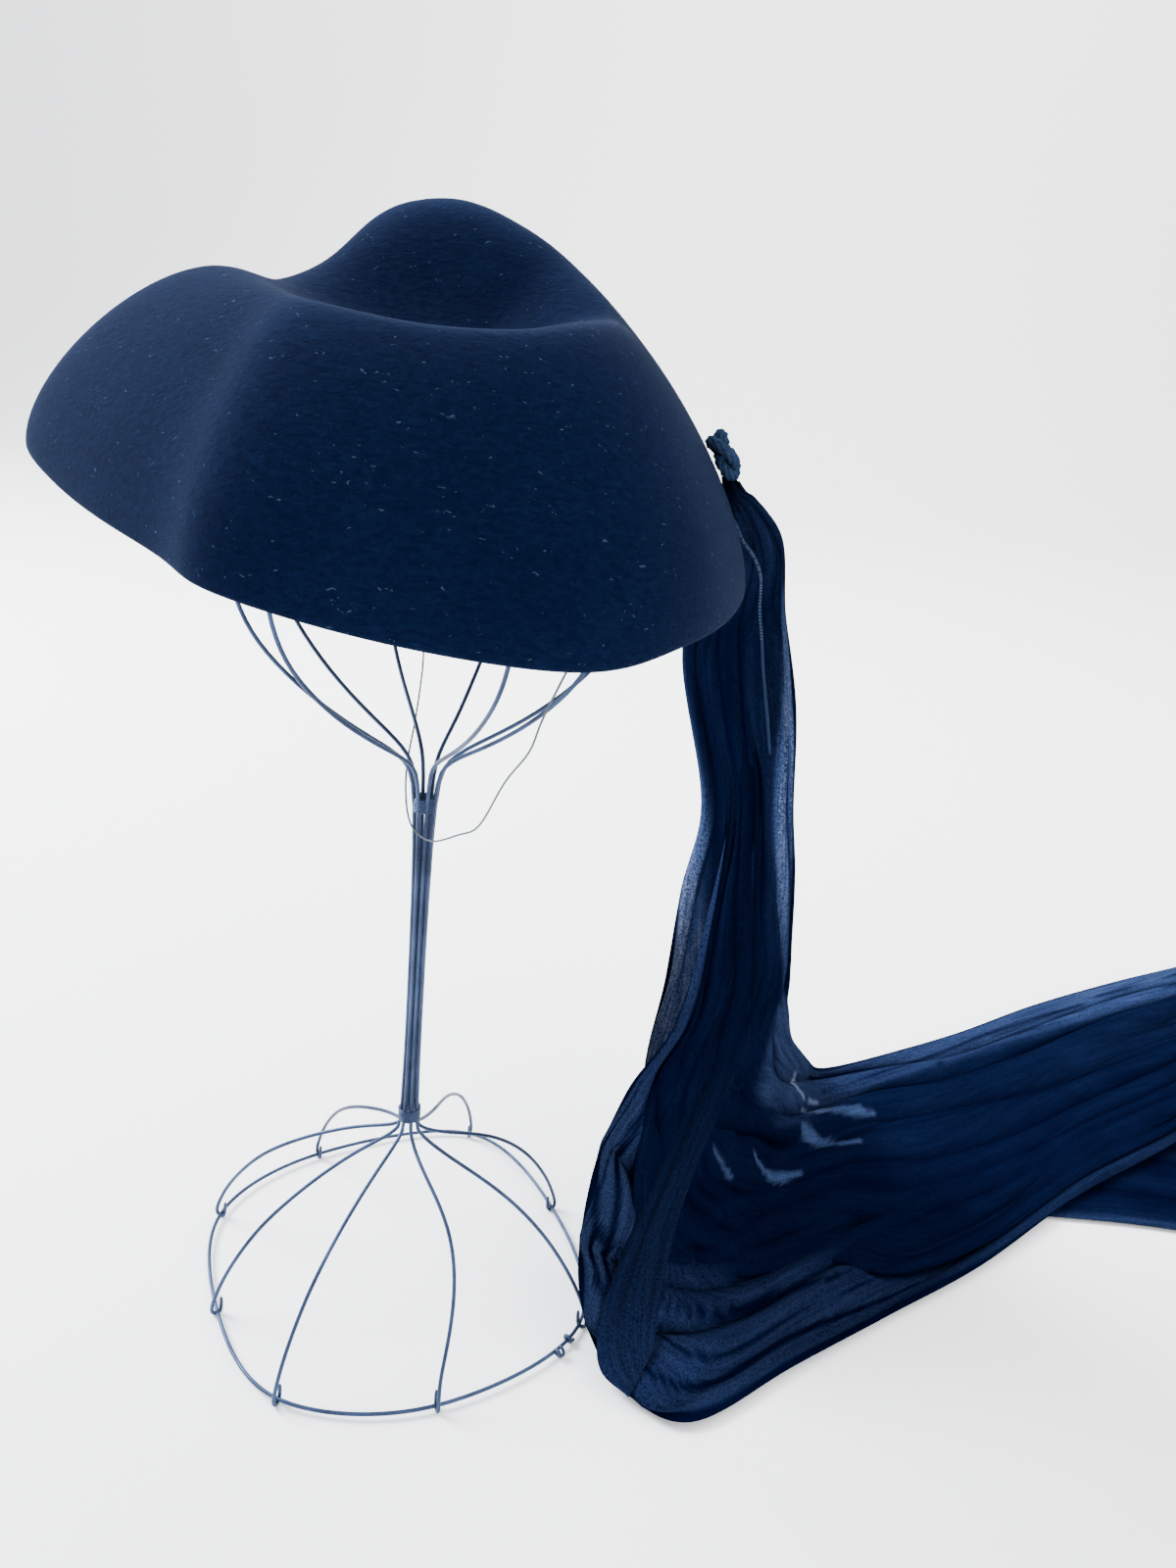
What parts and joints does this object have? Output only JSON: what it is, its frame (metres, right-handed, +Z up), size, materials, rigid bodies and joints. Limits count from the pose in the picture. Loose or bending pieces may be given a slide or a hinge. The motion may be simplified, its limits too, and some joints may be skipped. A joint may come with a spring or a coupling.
{
  "type": "felt hat on wire stand",
  "caption": "Soft blocked felt hat with a dented crown, pointed front and knotted chiffon scarf, resting on a domed wire hat stand.",
  "frame": {"origin": "Middle of the object's box on the table that it stands on, measured without the chin elastic.", "axes": "+Z up, -X to the hat's pointed front, +X along the table past the hat's knotted back, -Y to the viewer of the picture."},
  "size_m": [0.7232, 0.483, 0.4648],
  "materials": {
    "navy_felt": "brushed wool felt with short fibres and lint",
    "navy_chiffon": "sheer crepe chiffon, matt",
    "black_elastic": "thin covered elastic",
    "stand_steel": "dark drawn wire",
    "binding_steel": "fine dark wire wound side by side"
  },
  "bodies": {
    "root": {"felt_hat": "navy_felt", "back_knot": "navy_chiffon", "chiffon_tail_over": "navy_chiffon", "chiffon_tail_under": "navy_chiffon", "chin_elastic": "black_elastic", "stand_wire_1": "stand_steel", "stand_wire_2": "stand_steel", "stand_wire_3": "stand_steel", "stand_wire_4": "stand_steel", "stand_wire_5": "stand_steel", "stand_wire_6": "stand_steel", "stand_wire_7": "stand_steel", "stand_wire_8": "stand_steel", "base_ring": "stand_steel", "cage_boss": "stand_steel", "post_binding_low": "binding_steel", "post_binding_high": "binding_steel"}
  },
  "joints": []
}
